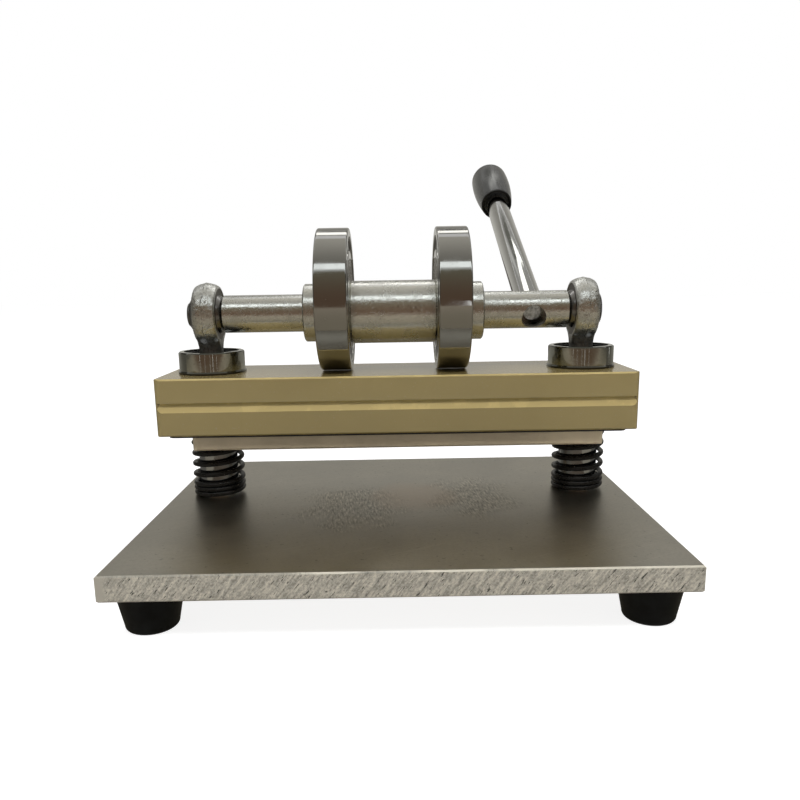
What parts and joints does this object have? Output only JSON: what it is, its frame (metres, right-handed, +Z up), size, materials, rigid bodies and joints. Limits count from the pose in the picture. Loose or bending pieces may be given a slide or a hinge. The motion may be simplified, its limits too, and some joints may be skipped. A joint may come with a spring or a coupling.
{
  "type": "die cutting press",
  "caption": "Hand lever die cutting press: an eccentric shaft in rod ends turns roller bearings that push a sprung painted beam down guide posts towards a sawn base plate.",
  "frame": {"origin": "on the bench top, under the middle of the object's box with the lever at rest", "axes": "X left to right, Y from the operator's side to the back, Z up"},
  "size_m": [0.3, 0.3734, 0.2791],
  "materials": {
    "plate_metal": "sawn edges, worn rolled faces",
    "foot_rubber": "moulded black rubber",
    "fastener_steel": "black oxide",
    "washer_zinc": "zinc plated",
    "post_steel": "ground and hard chromed",
    "rod_end_zinc": "zinc plated forging",
    "race_liner": "dark sliding liner",
    "spring_wire": "blackened spring wire",
    "shaft_plating": "turned and zinc plated",
    "ball_steel": "polished steel",
    "bearing_steel": "ground steel",
    "shield_steel": "pressed steel",
    "lever_chrome": "polished and plated",
    "knob_plastic": "moulded plastic, half gloss",
    "beam_paint": "glossy cream paint",
    "sheet_dark": "dark backing sheet",
    "pad_board": "plain grey board",
    "wiper_rubber": "black rubber"
  },
  "bodies": {
    "base": {"base_plate": "plate_metal", "foot_front_left": "foot_rubber", "foot_front_right": "foot_rubber", "foot_back_left": "foot_rubber", "foot_back_right": "foot_rubber", "foot_screws": "fastener_steel", "foot_washers": "washer_zinc", "post_bolts": "fastener_steel", "post_washers": "washer_zinc", "guide_post_left": "post_steel", "guide_post_right": "post_steel", "rod_end_left": "rod_end_zinc", "rod_end_right": "rod_end_zinc", "race_insert_left": "race_liner", "race_insert_right": "race_liner", "spring_left": "spring_wire", "spring_right": "spring_wire"},
    "shaft": {"eccentric_shaft": "shaft_plating", "collar_screws": "fastener_steel", "lever_rod": "lever_chrome", "lever_knob": "knob_plastic", "pivot_ball_left": "ball_steel", "pivot_ball_right": "ball_steel", "collar_left": "shaft_plating", "collar_right": "shaft_plating", "inner_ring_left": "bearing_steel", "inner_ring_right": "bearing_steel"},
    "beam": {"upper_beam_plate": "beam_paint", "lower_beam_plate": "beam_paint", "beam_bolts": "fastener_steel", "backing_sheet": "sheet_dark", "press_pad": "pad_board", "pad_screws": "fastener_steel", "guide_bush_left": "bearing_steel", "guide_bush_right": "bearing_steel", "wiper_left": "wiper_rubber", "wiper_right": "wiper_rubber"},
    "left_roller": {"outer_ring_left": "bearing_steel", "shields_left": "shield_steel"},
    "left_ball_set": {"bearing_balls_left": "ball_steel", "ball_cage_left": "shield_steel"},
    "right_roller": {"outer_ring_right": "bearing_steel", "shields_right": "shield_steel"},
    "right_ball_set": {"bearing_balls_right": "ball_steel", "ball_cage_right": "shield_steel"}
  },
  "joints": [
    {"name": "lever_turn", "type": "hinge", "parent": "base", "child": "shaft", "pos_m": [0, -0.04374, 0.1573], "axis": [1, 0, 0], "range_deg": [0, 133.5]},
    {"name": "beam_slide", "type": "slide", "parent": "base", "child": "beam", "axis": [0, 0, -1], "range_m": [0, 0.0136], "stiffness_N_per_m": 14200, "springref_m": -0.009, "deforming": ["spring_left", "spring_right"]},
    {"name": "left_roller_spin", "type": "hinge", "parent": "shaft", "child": "left_roller", "pos_m": [-0.0387, -0.04374, 0.1653], "axis": [1, 0, 0], "continuous": true},
    {"name": "left_ball_set_spin", "type": "hinge", "parent": "shaft", "child": "left_ball_set", "pos_m": [-0.0387, -0.04374, 0.1653], "axis": [1, 0, 0], "continuous": true},
    {"name": "right_roller_spin", "type": "hinge", "parent": "shaft", "child": "right_roller", "pos_m": [0.0357, -0.04374, 0.1653], "axis": [1, 0, 0], "continuous": true},
    {"name": "right_ball_set_spin", "type": "hinge", "parent": "shaft", "child": "right_ball_set", "pos_m": [0.0357, -0.04374, 0.1653], "axis": [1, 0, 0], "continuous": true}
  ],
  "couplings": [
    {"joint": "beam_slide", "follows": "lever_turn", "m_per_rad": 0.0057976},
    {"joint": "left_ball_set_spin", "follows": "left_roller_spin", "ratio": 0.59071},
    {"joint": "right_ball_set_spin", "follows": "right_roller_spin", "ratio": 0.59071}
  ]
}
